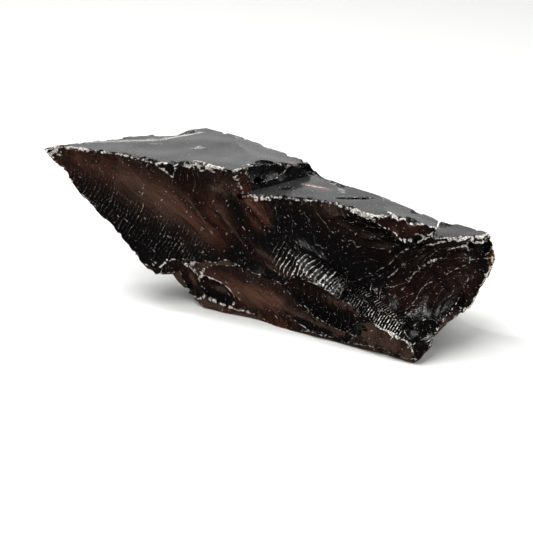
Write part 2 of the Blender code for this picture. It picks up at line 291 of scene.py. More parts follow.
class Stone:
    """The stone as a field: below zero inside, above zero outside, in mm near the surface.

    Each fracture surface is one branch of the field, and the highest branch wins. Where two
    branches are close to each other, a point is near the sharp edge between them.
    """

    def __init__(self, undulation):
        self.normals, self.offsets = stacked([plane_through(c) for c in FRACTURE_FACES.values()])
        steps = {
            "middle_step": [
                plane_at(((0, 0, MIDDLE_TOP), (0, 0, -1))),
                plane_at(MIDDLE_STEP_WALL, turned=True),
            ],
            "low_step": [
                plane_at(((0, 0, LOW_TOP), (0, 0, -1))),
                plane_at(LOW_STEP_WALL, turned=True),
            ],
            "back_bevel": [
                plane_at(BACK_BEVEL_WALL, turned=True),
                plane_at(MIDDLE_STEP_WALL, BEVEL_OVERRUN, turned=True),
                plane_at(LOW_STEP_WALL, BEVEL_OVERRUN),
            ],
            "foot_cut": [plane_at(FOOT_FACE), plane_at(FOOT_CEILING)],
        }
        self.steps = [stacked(planes) for planes in steps.values()]
        self.bites = [Bite(scar) for scar in FLAKE_SCARS.values()]
        self.names = [*FRACTURE_FACES, *steps, *FLAKE_SCARS, "ridge"]
        self.first = self.numbers(FIRST_SCARS)
        random = np.random.default_rng(SEED)
        self.swells = [Swell(random, *SWELL_RANGE_MM, SWELL_WAVES) for _ in range(2)]
        turn = random.uniform(0.0, 2.0 * math.pi, len(self.names))
        self.mix = np.stack([np.cos(turn), np.sin(turn)]) * undulation
        self.mix[:, self.names.index("resting_face")] = 0.0
        self.mix[:, np.isin(self.names, TOP_FACES)] *= TOP_UNDULATION
        self.chips = []

    def numbers(self, scars):
        """The numbers of the branches of these scars."""
        return [self.names.index(scar) for scar in scars]

    def branches(self, points):
        """Every branch in turn: its number, the points that it can reach and its height there."""
        swell = np.stack([waves.at(points) for waves in self.swells], 1) @ self.mix
        every = np.arange(len(points))
        faces = points @ self.normals - self.offsets
        for number in range(faces.shape[1]):
            height = faces[:, number] + swell[:, number]
            yield number, every, height + self.terraces(number, points, swell[:, number])
        number = faces.shape[1]
        for normals, offsets in self.steps:
            yield number, every, -(points @ normals - offsets).max(1) + swell[:, number]
            number += 1
        for bite in self.bites:
            near = bite.near(points)
            height = bite.depth(points[near]) + swell[near, number]
            yield number, near, height + self.terraces(number, points[near], swell[near, number])
            number += 1

    def terraces(self, number, points, swell):
        """How much deeper the terraces make a branch."""
        drop = 0.0
        for terrace in TERRACES:
            if self.names[number] in terrace.scars:
                off = points - terrace.middle
                inside = terrace.radius - np.sqrt((off * off).sum(1)) + TERRACE_WAVER * swell
                wall = np.clip(inside / TERRACE_WALL_MM, 0.0, 1.0)
                drop = drop + terrace.drop * wall * smooth(1.0 - inside / terrace.fade)
        return drop

    def terrace_edges(self, points, owner):
        """How far each point is from the edge of the nearest terrace that it is on, in mm."""
        waves = np.stack([waves.at(points) for waves in self.swells])
        swell = (waves * self.mix[:, owner]).sum(0)
        nearest = np.full(len(points), FAR_MM)
        for terrace in TERRACES:
            carried = np.isin(owner, self.numbers(terrace.scars))
            away = np.linalg.norm(points - terrace.middle, axis=1)
            gap = np.abs(terrace.radius - away + TERRACE_WAVER * swell)
            nearest = np.where(carried, np.minimum(nearest, gap), nearest)
        return nearest

    def hollows(self, points, heights):
        """The hollows that were struck first, run together, with the ridge left between them."""
        roll = EDGE_ROUNDING_MM + strongest(ROLLS, points)
        depth = np.full(len(points), -FAR_MM)
        for near, height in heights:
            depth[near] = rounded(depth[near], height, roll[near])
        spine = ridge_distance(points)
        return -rounded(-depth, -spine, RIDGE_FOOT_BLEND_MM), spine < depth

    def survey(self, points):
        """The two highest branches at each point, and which branch is the highest."""
        best = np.full(len(points), -FAR_MM)
        second = best.copy()
        owner = np.zeros(len(points), int)
        hollow_best = best.copy()
        hollow_owner = owner.copy()
        struck_first = []
        for number, near, height in self.branches(points):
            if number in self.first:
                struck_first.append((near, height))
                higher = height > hollow_best[near]
                hollow_best[near] = np.where(higher, height, hollow_best[near])
                hollow_owner[near] = np.where(higher, number, hollow_owner[near])
            else:
                ranked(best, second, owner, near, height, number)
        hollow, on_ridge = self.hollows(points, struck_first)
        number = np.where(on_ridge, self.names.index("ridge"), hollow_owner)
        ranked(best, second, owner, np.arange(len(points)), hollow, number)
        return best, second, owner

    def value(self, points):
        """The field, with its ridge rounded and its chips taken off."""
        value = np.full(len(points), -FAR_MM)
        struck_first = []
        for number, near, height in self.branches(points):
            if number in self.first:
                struck_first.append((near, height))
            else:
                value[near] = rounded(value[near], height, EDGE_ROUNDING_MM)
        value = rounded(value, self.hollows(points, struck_first)[0], EDGE_ROUNDING_MM)
        if self.chips:
            order = np.argsort(points[:, 0])
            across = points[order, 0]
            for chip in self.chips:
                low, high = np.searchsorted(across, (chip.low[0], chip.high[0]))
                near = order[low:high]
                near = near[chip.near(points[near])]
                value[near] = np.maximum(value[near], chip.depth(points[near]))
        return value


def ranked(best, second, owner, near, height, number):
    """Rank one more branch among the two highest at the points that it reaches."""
    higher = height > best[near]
    second[near] = np.where(higher, best[near], np.maximum(second[near], height))
    owner[near] = np.where(higher, number, owner[near])
    best[near] = np.maximum(best[near], height)


def ridge_distance(points):
    """How far each point is from the surface of the ridge's round spine."""
    distance = np.full(len(points), FAR_MM)
    for (start, start_radius), (end, end_radius) in zip(RIDGE_AXIS, RIDGE_AXIS[1:]):
        run = np.subtract(end, start)
        place = np.clip((points - start) @ run / (run @ run), 0.0, 1.0)
        off = points - start - place[:, None] * run
        radius = start_radius + (end_radius - start_radius) * place
        distance = np.minimum(distance, np.sqrt((off * off).sum(1)) - radius)
    return distance


def rounded(one, other, width):
    """The higher of two fields, with the edge between them rounded over a width."""
    blend = np.clip(1.0 - np.abs(one - other) / width, 0.0, 1.0)
    return np.maximum(one, other) + blend * blend * width / 4.0


def nearness(points, crest):
    """How close each point is to a crest: 1 on it, falling smoothly to 0 at its reach."""
    start = np.asarray(crest.start, float)
    run = np.asarray(crest.end) - start
    place = np.clip((points - start) @ run / (run @ run), 0.0, 1.0)
    off = points - start - place[:, None] * run
    return smooth(1.0 - np.sqrt((off * off).sum(1)) / crest.reach)


def strongest(crests, points):
    """The widest or strongest of several crests at each point."""
    return np.max([crest.width * nearness(points, crest) for crest in crests], 0)


def smooth(values):
    """An even rise from 0 to 1, flat at both ends."""
    values = np.clip(values, 0.0, 1.0)
    return values * values * (3.0 - 2.0 * values)


AXES = range(3)
GRADIENT_STEP_MM = 0.02
# How often each crossing of the surface is looked for more closely
REFINEMENTS = 2
# How strongly a corner of the mesh is held to the middle of its crossings
CORNER_PULL = 0.03


class Grid:
    """A box of sample points, a whole number of blocks each way."""

    def __init__(self, low, high, pitch):
        self.pitch = pitch
        self.low = np.asarray(low, float) - GRID_MARGIN_MM
        blocks = np.ceil((np.asarray(high) + GRID_MARGIN_MM - self.low) / (pitch * BLOCK_CELLS))
        self.blocks = blocks.astype(int)
        self.shape = tuple(self.blocks * BLOCK_CELLS)

    def sample(self, stone):
        """The field at each sample point: in full near the surface, a block's middle elsewhere."""
        block = np.indices(self.blocks).reshape(3, -1)
        middle = (block + 0.5) * BLOCK_CELLS - 0.5
        rough = stone.value(self.low + middle.T * self.pitch)
        near = np.abs(rough) < NEAR_MM
        field = rough.reshape(self.blocks)
        for axis in AXES:
            field = field.repeat(BLOCK_CELLS, axis)
        inner = np.indices((BLOCK_CELLS,) * 3).reshape(3, 1, -1)
        index = (block[:, near, None] * BLOCK_CELLS + inner).reshape(3, -1)
        field[tuple(index)] = stone.value(self.low + index.T * self.pitch)
        return field


def crossings(grid, field, axis):
    """The grid edges along an axis that cross the surface: lower ends, heights at both ends."""
    below = [slice(None)] * 3
    above = [slice(None)] * 3
    below[axis] = slice(None, -1)
    above[axis] = slice(1, None)
    start = field[tuple(below)]
    end = field[tuple(above)]
    index = np.nonzero((start < 0.0) != (end < 0.0))
    return np.stack(index), start[index], end[index]


def surface_points(grid, field, value):
    """Where the surface crosses the grid's edges, its normals there, the edges and their ways."""
    found = [crossings(grid, field, axis) for axis in AXES]
    axis = np.concatenate([np.full(len(found[a][1]), a) for a in AXES])
    lower = np.concatenate([index for index, _, _ in found], 1).T
    start = np.concatenate([heights for _, heights, _ in found])
    end = np.concatenate([heights for _, _, heights in found])
    step = np.eye(3)[axis] * grid.pitch
    base = grid.low + lower * grid.pitch
    near_end = np.zeros(len(axis))
    far_end = np.ones(len(axis))
    place = start / (start - end)
    for _ in range(REFINEMENTS):
        here = value(base + step * place[:, None])
        same = (here < 0.0) == (start < 0.0)
        near_end = np.where(same, place, near_end)
        start = np.where(same, here, start)
        far_end = np.where(same, far_end, place)
        end = np.where(same, end, here)
        place = near_end + (far_end - near_end) * start / (start - end)
    points = base + step * place[:, None]
    return points, gradient(value, points), lower, axis, end > start


def rise(value, points):
    """How much a field rises at each point over two steps along each axis."""
    steps = GRADIENT_STEP_MM * np.eye(3)
    return np.stack([value(points + step) - value(points - step) for step in steps], 1)


def gradient(value, points):
    """The way the field rises fastest, as unit vectors."""
    way = rise(value, points)
    return way / (np.linalg.norm(way, axis=1, keepdims=True) + TINY_RISE)


def cells_round(lower, axis):
    """The four cells round each grid edge, anticlockwise as seen from the edge's far end."""
    first = np.eye(3, dtype=int)[(axis + 1) % 3]
    second = np.eye(3, dtype=int)[(axis + 2) % 3]
    return np.stack([lower - first - second, lower - second, lower, lower - first], 1)


def cell_corners(grid, points, normals, cells):
    """One corner for each cell: where the tangent planes of its crossings meet best."""
    strides = np.array([grid.shape[1] * grid.shape[2], grid.shape[2], 1])
    keys, cell_of = np.unique(cells @ strides, return_inverse=True)
    cell_of = cell_of.reshape(-1)
    points = points.repeat(4, 0)
    normals = normals.repeat(4, 0)

    def total(values):
        return np.bincount(cell_of, values, len(keys))

    count = total(np.ones(len(cell_of)))
    middle = np.stack([total(points[:, a]) for a in AXES], 1) / count[:, None]
    level = (normals * (points - middle[cell_of])).sum(1)
    spread = np.empty((len(keys), 3, 3))
    for a in AXES:
        for b in AXES:
            spread[:, a, b] = total(normals[:, a] * normals[:, b])
    pull = np.stack([total(normals[:, a] * level) for a in AXES], 1)
    spread += np.eye(3) * (CORNER_PULL * count)[:, None, None]
    corners = middle + np.linalg.solve(spread, pull[:, :, None])[:, :, 0]
    cell = np.stack(np.unravel_index(keys, grid.shape), 1)
    low = grid.low + cell * grid.pitch
    return np.clip(corners, low, low + grid.pitch), cell_of.reshape(-1, 4)


def draw_surface(grid, field, value):
    """Corners and triangles of the zero level, with its sharp edges kept."""
    points, normals, lower, axis, rising = surface_points(grid, field, value)
    corners, quads = cell_corners(grid, points, normals, cells_round(lower, axis))
    quads[~rising] = quads[~rising, ::-1]
    straight = np.abs(value((corners[quads[:, 0]] + corners[quads[:, 2]]) / 2.0))
    other = np.abs(value((corners[quads[:, 1]] + corners[quads[:, 3]]) / 2.0))
    quads = np.where((other < straight)[:, None], quads[:, [1, 2, 3, 0]], quads)
    return corners, np.concatenate([quads[:, [0, 1, 2]], quads[:, [0, 2, 3]]])


# --------------------------------------
# Chips along the sharp edges
# --------------------------------------

# Chips break off this close to an edge
EDGE_SAMPLE_MM = 0.35
# How sharp an edge is, from 0 where its faces are nearly level to 2 where they are back to back
BLUNTEST_EDGE = 0.1
CHIPPED_EDGE = 0.6
# A chip's length, thickness and depth against its width, and how far it may turn from its edge
CHIP_STRETCH = 1.7
CHIP_FLATNESS = 0.55
CHIP_DEPTH_SHARE = 0.30
CHIP_STRAY = 0.45
# Above 1, small chips outnumber large ones
SMALL_CHIP_BIAS = 2.2
# Chips keep this far from these places
UNCHIPPED = (
    (TIP, 5.0),
    (STEP_CORNER, 4.0),
    ((26, 0, 48), 9.0),
    ((-43, 26, 57), 13.0),
    ((-1, 1, 48), 6.0),
)
# They gather along the rims of the tops and on the edges of the blunt end: where those begin, and
# how many chips they get against one elsewhere
RIM_Z = LOW_TOP - 1.0
RIM_CHIPS = 2.5
BLUNT_EDGE_X = 66.0
BLUNT_EDGE_CHIPS = 3.0


def nearest_edge(stone, points):
    """How far each surface point is from the nearest edge, about, in mm, and how sharp that is."""

    def gap(places):
        best, second, _ = stone.survey(places)
        return best - second

    sharpness = np.linalg.norm(rise(gap, points), axis=1) / (2.0 * GRADIENT_STEP_MM)
    return gap(points) / np.maximum(sharpness, BLUNTEST_EDGE), sharpness


def chip_away(stone, grid, field, count, smallest, largest):
    """Break small flakes off along the sharp edges, most of them along the rims of the tops."""
    random = np.random.default_rng(SEED)
    points, normals, *_ = surface_points(grid, field, stone.value)
    best, second, _ = stone.survey(points)
    close = np.flatnonzero(best - second < EDGE_SAMPLE_MM * 2.0)
    points, normals = points[close], normals[close]
    distance, sharpness = nearest_edge(stone, points)
    keep = (distance < EDGE_SAMPLE_MM) & (points[:, 2] > smallest) & (sharpness > CHIPPED_EDGE)
    for middle, reach in UNCHIPPED:
        keep &= np.linalg.norm(points - middle, axis=1) > reach
    points, normals = points[keep], normals[keep]
    weight = np.where(points[:, 2] > RIM_Z, RIM_CHIPS, 1.0)
    weight[points[:, 0] > BLUNT_EDGE_X] = BLUNT_EDGE_CHIPS
    picked = random.choice(len(points), count, replace=False, p=weight / weight.sum())
    for place, normal in zip(points[picked], normals[picked]):
        size = smallest * (largest / smallest) ** (random.random() ** SMALL_CHIP_BIAS)
        opens = unit(normal + random.normal(0.0, CHIP_STRAY, 3))
        along = random.normal(size=3)
        deepest = place - opens * size * CHIP_DEPTH_SHARE
        radii = (size * CHIP_STRETCH, size, size * CHIP_FLATNESS)
        chip = Bite(Scar(deepest, opens, along, radii))
        chip.low += NEAR_MM - grid.pitch
        chip.high -= NEAR_MM - grid.pitch
        stone.chips.append(chip)
        first = np.maximum(np.floor((chip.low - grid.low) / grid.pitch).astype(int), 0)
        last = np.minimum(np.ceil((chip.high - grid.low) / grid.pitch).astype(int) + 1, grid.shape)
        span = last - first
        index = np.indices(span).reshape(3, -1) + first[:, None]
        depth = chip.depth(grid.low + index.T * grid.pitch)
        room = tuple(slice(a, b) for a, b in zip(first, last))
        field[room] = np.maximum(field[room], depth.reshape(span))


def drop_crumbs(field):
    """Leave out every lone point of glass, which would float beside the stone as a speck."""
    glass = field < 0.0
    joined = np.zeros_like(glass)
    for axis in AXES:
        joined |= np.roll(glass, 1, axis) | np.roll(glass, -1, axis)
    field[glass & ~joined] = NEAR_MM


# --------------------------------------
# Ripples that run out from where each flake was struck
# --------------------------------------

# A set of ripples: the scars that carry it, where they were struck from, the way from one ripple
# to the next, how deep they are, how much they waver, how white their crests are (nicked glass and
# painted glints), and the line along which they are strongest, where they aren't as strong all over
Ripples = namedtuple("Ripples", "scars strike pitch depth waver bruise along", defaults=(None,))

RIB_STRIKE = (-75, 14, 61)
RIB_LINE = Crest((9, -16, 25), (21, -20, 19), 14.0, 1.8)
FINE_RIB_LINE = Crest((20, -20, 18), (46, -24, 9), 16.0, 1.0)
FLUTE_LINE = Crest((-80, -2, 46), (-33, -2, 22), 14.0, 1.0)
BACK_FLAKES = ("back_flake", "back_end_flake")
HEEL_FLAKES = ("left_heel_flake", "blunt_end_flake", "blunt_heel_flake")

# The crests of the ridge's ribs get the most white: partly nicked glass, mostly painted glints
RIPPLES = {
    "crest_ribs": Ripples(("ridge", "side_flute"), RIB_STRIKE, 1.7, 0.42, 1.5, 4.0, RIB_LINE),
    "fine_ribs": Ripples(("ridge", "ridge_face"), RIB_STRIKE, 1.0, 0.16, 1.4, 4.0, FINE_RIB_LINE),
    "flute_ripples": Ripples(("long_flute",), (-88, -4, 50), 1.4, 0.08, 2.4, 1.3, FLUTE_LINE),
    "side_ripples": Ripples(("side_flute",), RIB_STRIKE, 1.4, 0.05, 0.9, 0.50),
    "hollow_ripples": Ripples(("front_hollow", "brow_hollow"), (30, -18, 50), 4.0, 0.20, 1.6, 0.6),
    "end_ripples": Ripples(("end_hollow", "end_terrace"), (67, -16, 16), 3.0, 0.26, 1.3, 0.9),
    "notch_ripples": Ripples(("notch",), (14, 0, 50), 2.4, 0.14, 0.3, 0.2),
    "under_ripples": Ripples(("under_ridge",), (34, -22, 14), 2.0, 0.16, 0.7, 0.8),
    "back_ripples": Ripples(("back_sweep", "left_end_flake"), (-38, 30, 60), 6.0, 0.22, 0.9, 0.15),
    "back_flute_ripples": Ripples(("back_flute",), (-22, 30, 58), 5.2, 0.24, 0.9, 0.15),
    "back_flake_ripples": Ripples(BACK_FLAKES, (44, 16, 46), 4.8, 0.22, 0.9, 0.15),
    "heel_ripples": Ripples(HEEL_FLAKES, (10, 60, 0), 4.4, 0.18, 0.9, 0.15),
}
# Ripples fade out this close to an edge
RIPPLE_FADE_MM = 0.6
# What makes them waver, and how strong the weakest of them is
WAVER_NOISE_MM = 6.0
WEAKEST_RIPPLE = 0.15
# What the ripples leave on the mesh: how many ripples away the strike was, and how white their
# crests are, as nicked glass and as painted glints
RIPPLE_VALUES = ("phase", "crest")
# What the node group is given
RIPPLE_INPUTS = {
    "Geometry": "NodeSocketGeometry",
    "Zone": "NodeSocketString",
    "Strike": "NodeSocketVector",
    "Pitch": "NodeSocketFloat",
    "Depth": "NodeSocketFloat",
    "Waver": "NodeSocketFloat",
    "Bruise": "NodeSocketFloat",
    "Seed": "NodeSocketInt",
    "Material": "NodeSocketMaterial",
}

MATH = "ShaderNodeMath"
VECTOR_MATH = "ShaderNodeVectorMath"
RANGE = "ShaderNodeMapRange"
NOISE = "ShaderNodeTexNoise"
MIX = "ShaderNodeMix"
STORED = "GeometryNodeInputNamedAttribute"


def set_node_inputs(tree, node, inputs):
    """Give a node's inputs, by place or name, values or links to other nodes or their outputs."""
    for place, value in inputs.items() if isinstance(inputs, dict) else enumerate(inputs):
        if isinstance(value, bpy.types.Node):
            value = next(output for output in value.outputs if output.enabled)
        if isinstance(value, bpy.types.NodeSocket):
            tree.links.new(value, node.inputs[place])
        else:
            node.inputs[place].default_value = value


def add_node(tree, kind, inputs=(), **settings):
    """Add a node with its settings and its inputs."""
    node = tree.nodes.new(kind)
    for name, value in settings.items():
        setattr(node, name, value)
    set_node_inputs(tree, node, inputs)
    return node


def add_grooves(tree, phase):
    """How deep round grooves are: 1 in the middle of each, 0 where the phase is a whole number."""
    angle = add_node(tree, MATH, (phase, math.pi), operation="MULTIPLY")
    wave = add_node(tree, MATH, (angle,), operation="SINE")
    return add_node(tree, MATH, (wave,), operation="ABSOLUTE")


def ripple_tree():
    """Geometry Nodes that press rounded grooves with sharp crests into a zone of the stone."""
    tree = bpy.data.node_groups.new("struck ripples", "GeometryNodeTree")
    for name, kind in RIPPLE_INPUTS.items():
        tree.interface.new_socket(name, in_out="INPUT", socket_type=kind)
    tree.interface.new_socket("Geometry", in_out="OUTPUT", socket_type="NodeSocketGeometry")
    add = partial(add_node, tree)
    given = add("NodeGroupInput").outputs
    place = add("GeometryNodeInputPosition")
    normal = add("GeometryNodeInputNormal")
    zone = add(STORED, {"Name": given["Zone"]}, data_type="FLOAT")
    ragged = add(NOISE, {"Vector": place, "Scale": 1.0 / (WAVER_NOISE_MM * MM), "Detail": 3.0})
    run = add(VECTOR_MATH, (place, given["Strike"]), operation="DISTANCE")
    turns = add(MATH, (run, given["Pitch"]), operation="DIVIDE")
    phase = add(MATH, (ragged, given["Waver"], turns), operation="MULTIPLY_ADD")
    ripple = add(MATH, (phase,), operation="FLOOR")
    chance = {2: WEAKEST_RIPPLE, 3: 1.0, "ID": ripple, "Seed": given["Seed"]}
    uneven = add("FunctionNodeRandomValue", chance, data_type="FLOAT")
    groove = add_grooves(tree, phase)
    strength = add(MATH, (zone, uneven), operation="MULTIPLY")
    deep = add(MATH, (groove, given["Depth"]), operation="MULTIPLY")
    drop = add(MATH, (deep, strength), operation="MULTIPLY")
    inward = add(MATH, (drop, -1.0), operation="MULTIPLY")
    offset = add(VECTOR_MATH, {0: normal, "Scale": inward}, operation="SCALE")
    thing = add("GeometryNodeSetPosition", {"Geometry": given["Geometry"], "Offset": offset})
    # The white of the crests: nicked glass, and painted glints of light
    crest = add(MATH, (strength, given["Bruise"]), operation="MULTIPLY")
    held = add(STORED, {"Name": "crest"}, data_type="FLOAT")
    stronger = add("FunctionNodeCompare", (crest, held), operation="GREATER_THAN")
    for name, value in zip(RIPPLE_VALUES, (phase, crest)):
        kept = {"Geometry": thing, "Selection": stronger, "Name": name, "Value": value}
        thing = add("GeometryNodeStoreNamedAttribute", kept, data_type="FLOAT")
    thing = add("GeometryNodeRealizeInstances", {"Geometry": thing})
    thing = add("GeometryNodeSetMaterial", {"Geometry": thing, "Material": given["Material"]})
    add("NodeGroupOutput", {"Geometry": thing})
    return tree


def ripple_zones(stone, points):
    """How much of each set of ripples each point gets."""
    best, second, owner = stone.survey(points)
    clear = smooth((best - second) / RIPPLE_FADE_MM)
    zones = {}
    for name, ripples in RIPPLES.items():
        zones[name] = clear * np.isin(owner, stone.numbers(ripples.scars))
        if ripples.along:
            zones[name] *= strongest([ripples.along], points)
    return zones


def raise_ripples(thing, material):
    """Give the mesh its ripples, one Geometry Nodes modifier for each set."""
    tree = ripple_tree()
    sockets = {
        item.name: item.identifier
        for item in tree.interface.items_tree
        if item.in_out == "INPUT"
    }
    for seed, (name, ripples) in enumerate(RIPPLES.items(), SEED):
        modifier = thing.modifiers.new(name, "NODES")
        modifier.node_group = tree
        settings = {
            "Zone": name,
            "Strike": [value * MM for value in ripples.strike],
            "Pitch": ripples.pitch * MM,
            "Depth": ripples.depth * MM,
            "Waver": ripples.waver,
            "Bruise": ripples.bruise,
            "Seed": seed,
            "Material": material,
        }
        for setting, value in settings.items():
            modifier[sockets[setting]] = value


# --------------------------------------
# Meshes
# --------------------------------------

CREASE_ANGLE = math.radians(32.0)
FEWEST_TRIANGLES = 50000


def add_values(mesh, name, values):
    """A number for each corner of the mesh, which materials and Geometry Nodes read by name."""
    mesh.attributes.new(name, "FLOAT", "POINT").data.foreach_set("value", values.astype(np.float32))


def new_mesh(name, corners, triangles):
    mesh = bpy.data.meshes.new(name)
    mesh.from_pydata((corners * MM).tolist(), [], triangles.tolist())
    mesh.shade_smooth()
    return mesh


def read_corners(mesh, kind):
    """The places ("co", in metres) or the normals ("normal") of a mesh's corners."""
    values = np.empty(len(mesh.vertices) * 3, np.float32)
    mesh.vertices.foreach_get(kind, values)
    return values.reshape(-1, 3).astype(float)


def flattened(thing):
    """The object with its modifiers turned into plain mesh."""
    depsgraph = bpy.context.evaluated_depsgraph_get()
    mesh = bpy.data.meshes.new_from_object(thing.evaluated_get(depsgraph))
    thing.modifiers.clear()
    old = thing.data
    thing.data = mesh
    bpy.data.meshes.remove(old)
    mesh.name = thing.name
    return mesh


def thin_out(thing, triangles):
    """Bring the mesh under a number of triangles, keeping them where it bends."""
    thin = thing.modifiers.new("thin", "DECIMATE")
    thin.ratio = min(1.0, triangles / len(thing.data.polygons))
    thin.use_collapse_triangulate = True
    return flattened(thing)


# --------------------------------------
# Materials
# --------------------------------------

GLASS_BLACK = "#070606"
# Reddish brown of the iron-rich bands, also laid on as a painted warm reflection
MAHOGANY_AND_WARM_REFLECTION = "#3c2018"
# Orange-brown of light shining through thin glass, painted in as colour
PAINTED_AMBER_GLOW = "#b5763a"
# Grey of the hazy tops, which also paints in the sheen that the up-facing tops show
HAZE_AND_SHEEN_GREY = "#5a5a5c"
CRUSHED_WHITE = "#efebe4"
POWDER_SHADE = "#c4beb4"
PAPER_WHITE = "#f4f4f2"

# What the material reads from the mesh: how far the nearest edge is and how far in it is bruised,
# both in mm, and how much dust, striation, haze with painted sheen, iron band colour with painted
# warm reflection, painted glow of light through thin glass and scraping there is
FINISHES = ("edge", "bruise", "dust", "grain", "haze_and_sheen", "mahogany_and_reflection", "amber_glow", "scrape")
# Those that a noise breaks up, each by the ramp of its own name
BROKEN_UP = ("haze_and_sheen", "mahogany_and_reflection", "amber_glow", "scrape")

# Noises: the size of their features in mm, and their detail
NOISES = {"ragged": (1.4, 6.0), "fine": (0.7, 4.0), "crumbly": (0.42, 2.0), "hazy": (9.0, 6.0)}
# Noises drawn out along the striations: the lengths of their features in mm, and their detail
DRAWN_NOISES = {
    "striations": ((16.0, 0.8, 0.8), 5.0),
    "streaks": ((30.0, 2.6, 2.6), 4.0),
    "hackles": ((0.9, 7.0, 7.0), 4.0),
}
# The way that the striations run, and the way across the surface from one to the next
GRAIN = (0.72, -0.29, -0.63)
ACROSS_GRAIN = (0.55, -0.30, 0.78)
# Ramps: the noise that each follows, where on it the ramp begins and ends, and what it rises from
# and to, where these aren't 0 and 1
RAMPS = {
    "reach": ("ragged", 0.42, 0.66, 0.0, 1.5),
    "crumbs": ("crumbly", 0.40, 0.52, 0.10),
    "patches": ("streaks", 0.4, 0.56, 0.3),
    "nicks": ("fine", 0.38, 0.6),
    "powder": ("fine", 0.35, 0.6),
    "gloss": ("striations", 0.35, 0.7, 0.06, 0.2),
    "haze_and_sheen": ("hazy", 0.3, 0.7, 0.6),
    "mahogany_and_reflection": ("streaks", 0.4, 0.58, 0.15),
    "amber_glow": ("crumbly", 0.4, 0.6),
    "scrape": ("crumbly", 0.38, 0.55),
}
# How abruptly crushed glass ends, and how narrow the bruised crests of ripples are
CRUSH_SHARPNESS = 5.0
CREST_SHARPNESS = 4.5
# Dust and powder: the share of the grains that lies on ragged places, their spacing, the largest
# of them in spacings, and how white they are
DUST_SHARE = 0.4
DUST_SPACING_MM = 0.95
DUST_GRAIN = 0.15
DUST_WHITE = 0.45
POWDER_SPACING_MM = 0.42
POWDER_GRAIN = 0.22
POWDER_WHITE = 0.25
# Scratches: the cells that carry one, the share that does, and how wide and white it is
SCRATCH_CELL_MM = (3.6, 0.42, 0.42)
SCRATCH_SHARE = 0.10
SCRATCH_WIDTH = 0.30
SCRATCH_WHITE = 0.55
# How rough hazy glass and powder are
SATIN_ROUGHNESS = 0.28
POWDER_ROUGHNESS = 0.75
# How high hackles, powder and micro waves stand against the striations, and those in mm
HACKLE_RELIEF = 0.25
POWDER_RELIEF = 0.35
FINE_RELIEF = 0.05
BUMP_MM = 0.35
BUMP_STRENGTH = 0.8
# How strongly the glass refracts, and so reflects, light
GLASS_IOR = 1.49


def linear(code):
    """The linear colour of an sRGB hex value."""
    parts = [int(code[place : place + 2], 16) / 255.0 for place in (1, 3, 5)]
    return [v / 12.92 if v <= 0.04045 else ((v + 0.055) / 1.055) ** 2.4 for v in parts] + [1.0]


def along_grain(tree, place, lengths, turned=False):
    """Places in a frame that follows the striations, with a length for each of its axes."""
    first, second = Vector(GRAIN).normalized(), Vector(ACROSS_GRAIN)
    second = (second - first * second.dot(first)).normalized()
    if turned:
        first, second = second, -first
    axes = Matrix((first, second, first.cross(second))).transposed()
    scale = [length * MM for length in lengths]
    inputs = {"Vector": place, "Rotation": axes.to_euler(), "Scale": scale}
    return add_node(tree, "ShaderNodeMapping", inputs, vector_type="TEXTURE")


def grains(tree, place, scale, share, largest):
    """Scattered grains: 1 inside a grain and 0 between them."""
    cells = add_node(tree, "ShaderNodeTexVoronoi", {"Vector": place, "Scale": scale})
    chance = add_node(tree, "ShaderNodeSeparateColor", (cells.outputs["Color"],))
    rarest = add_node(tree, MATH, (1.0, share), operation="SUBTRACT")
    size = add_node(tree, RANGE, (chance, rarest, 1.0, 0.0, largest))
    return add_node(tree, MATH, (cells, size), operation="LESS_THAN")


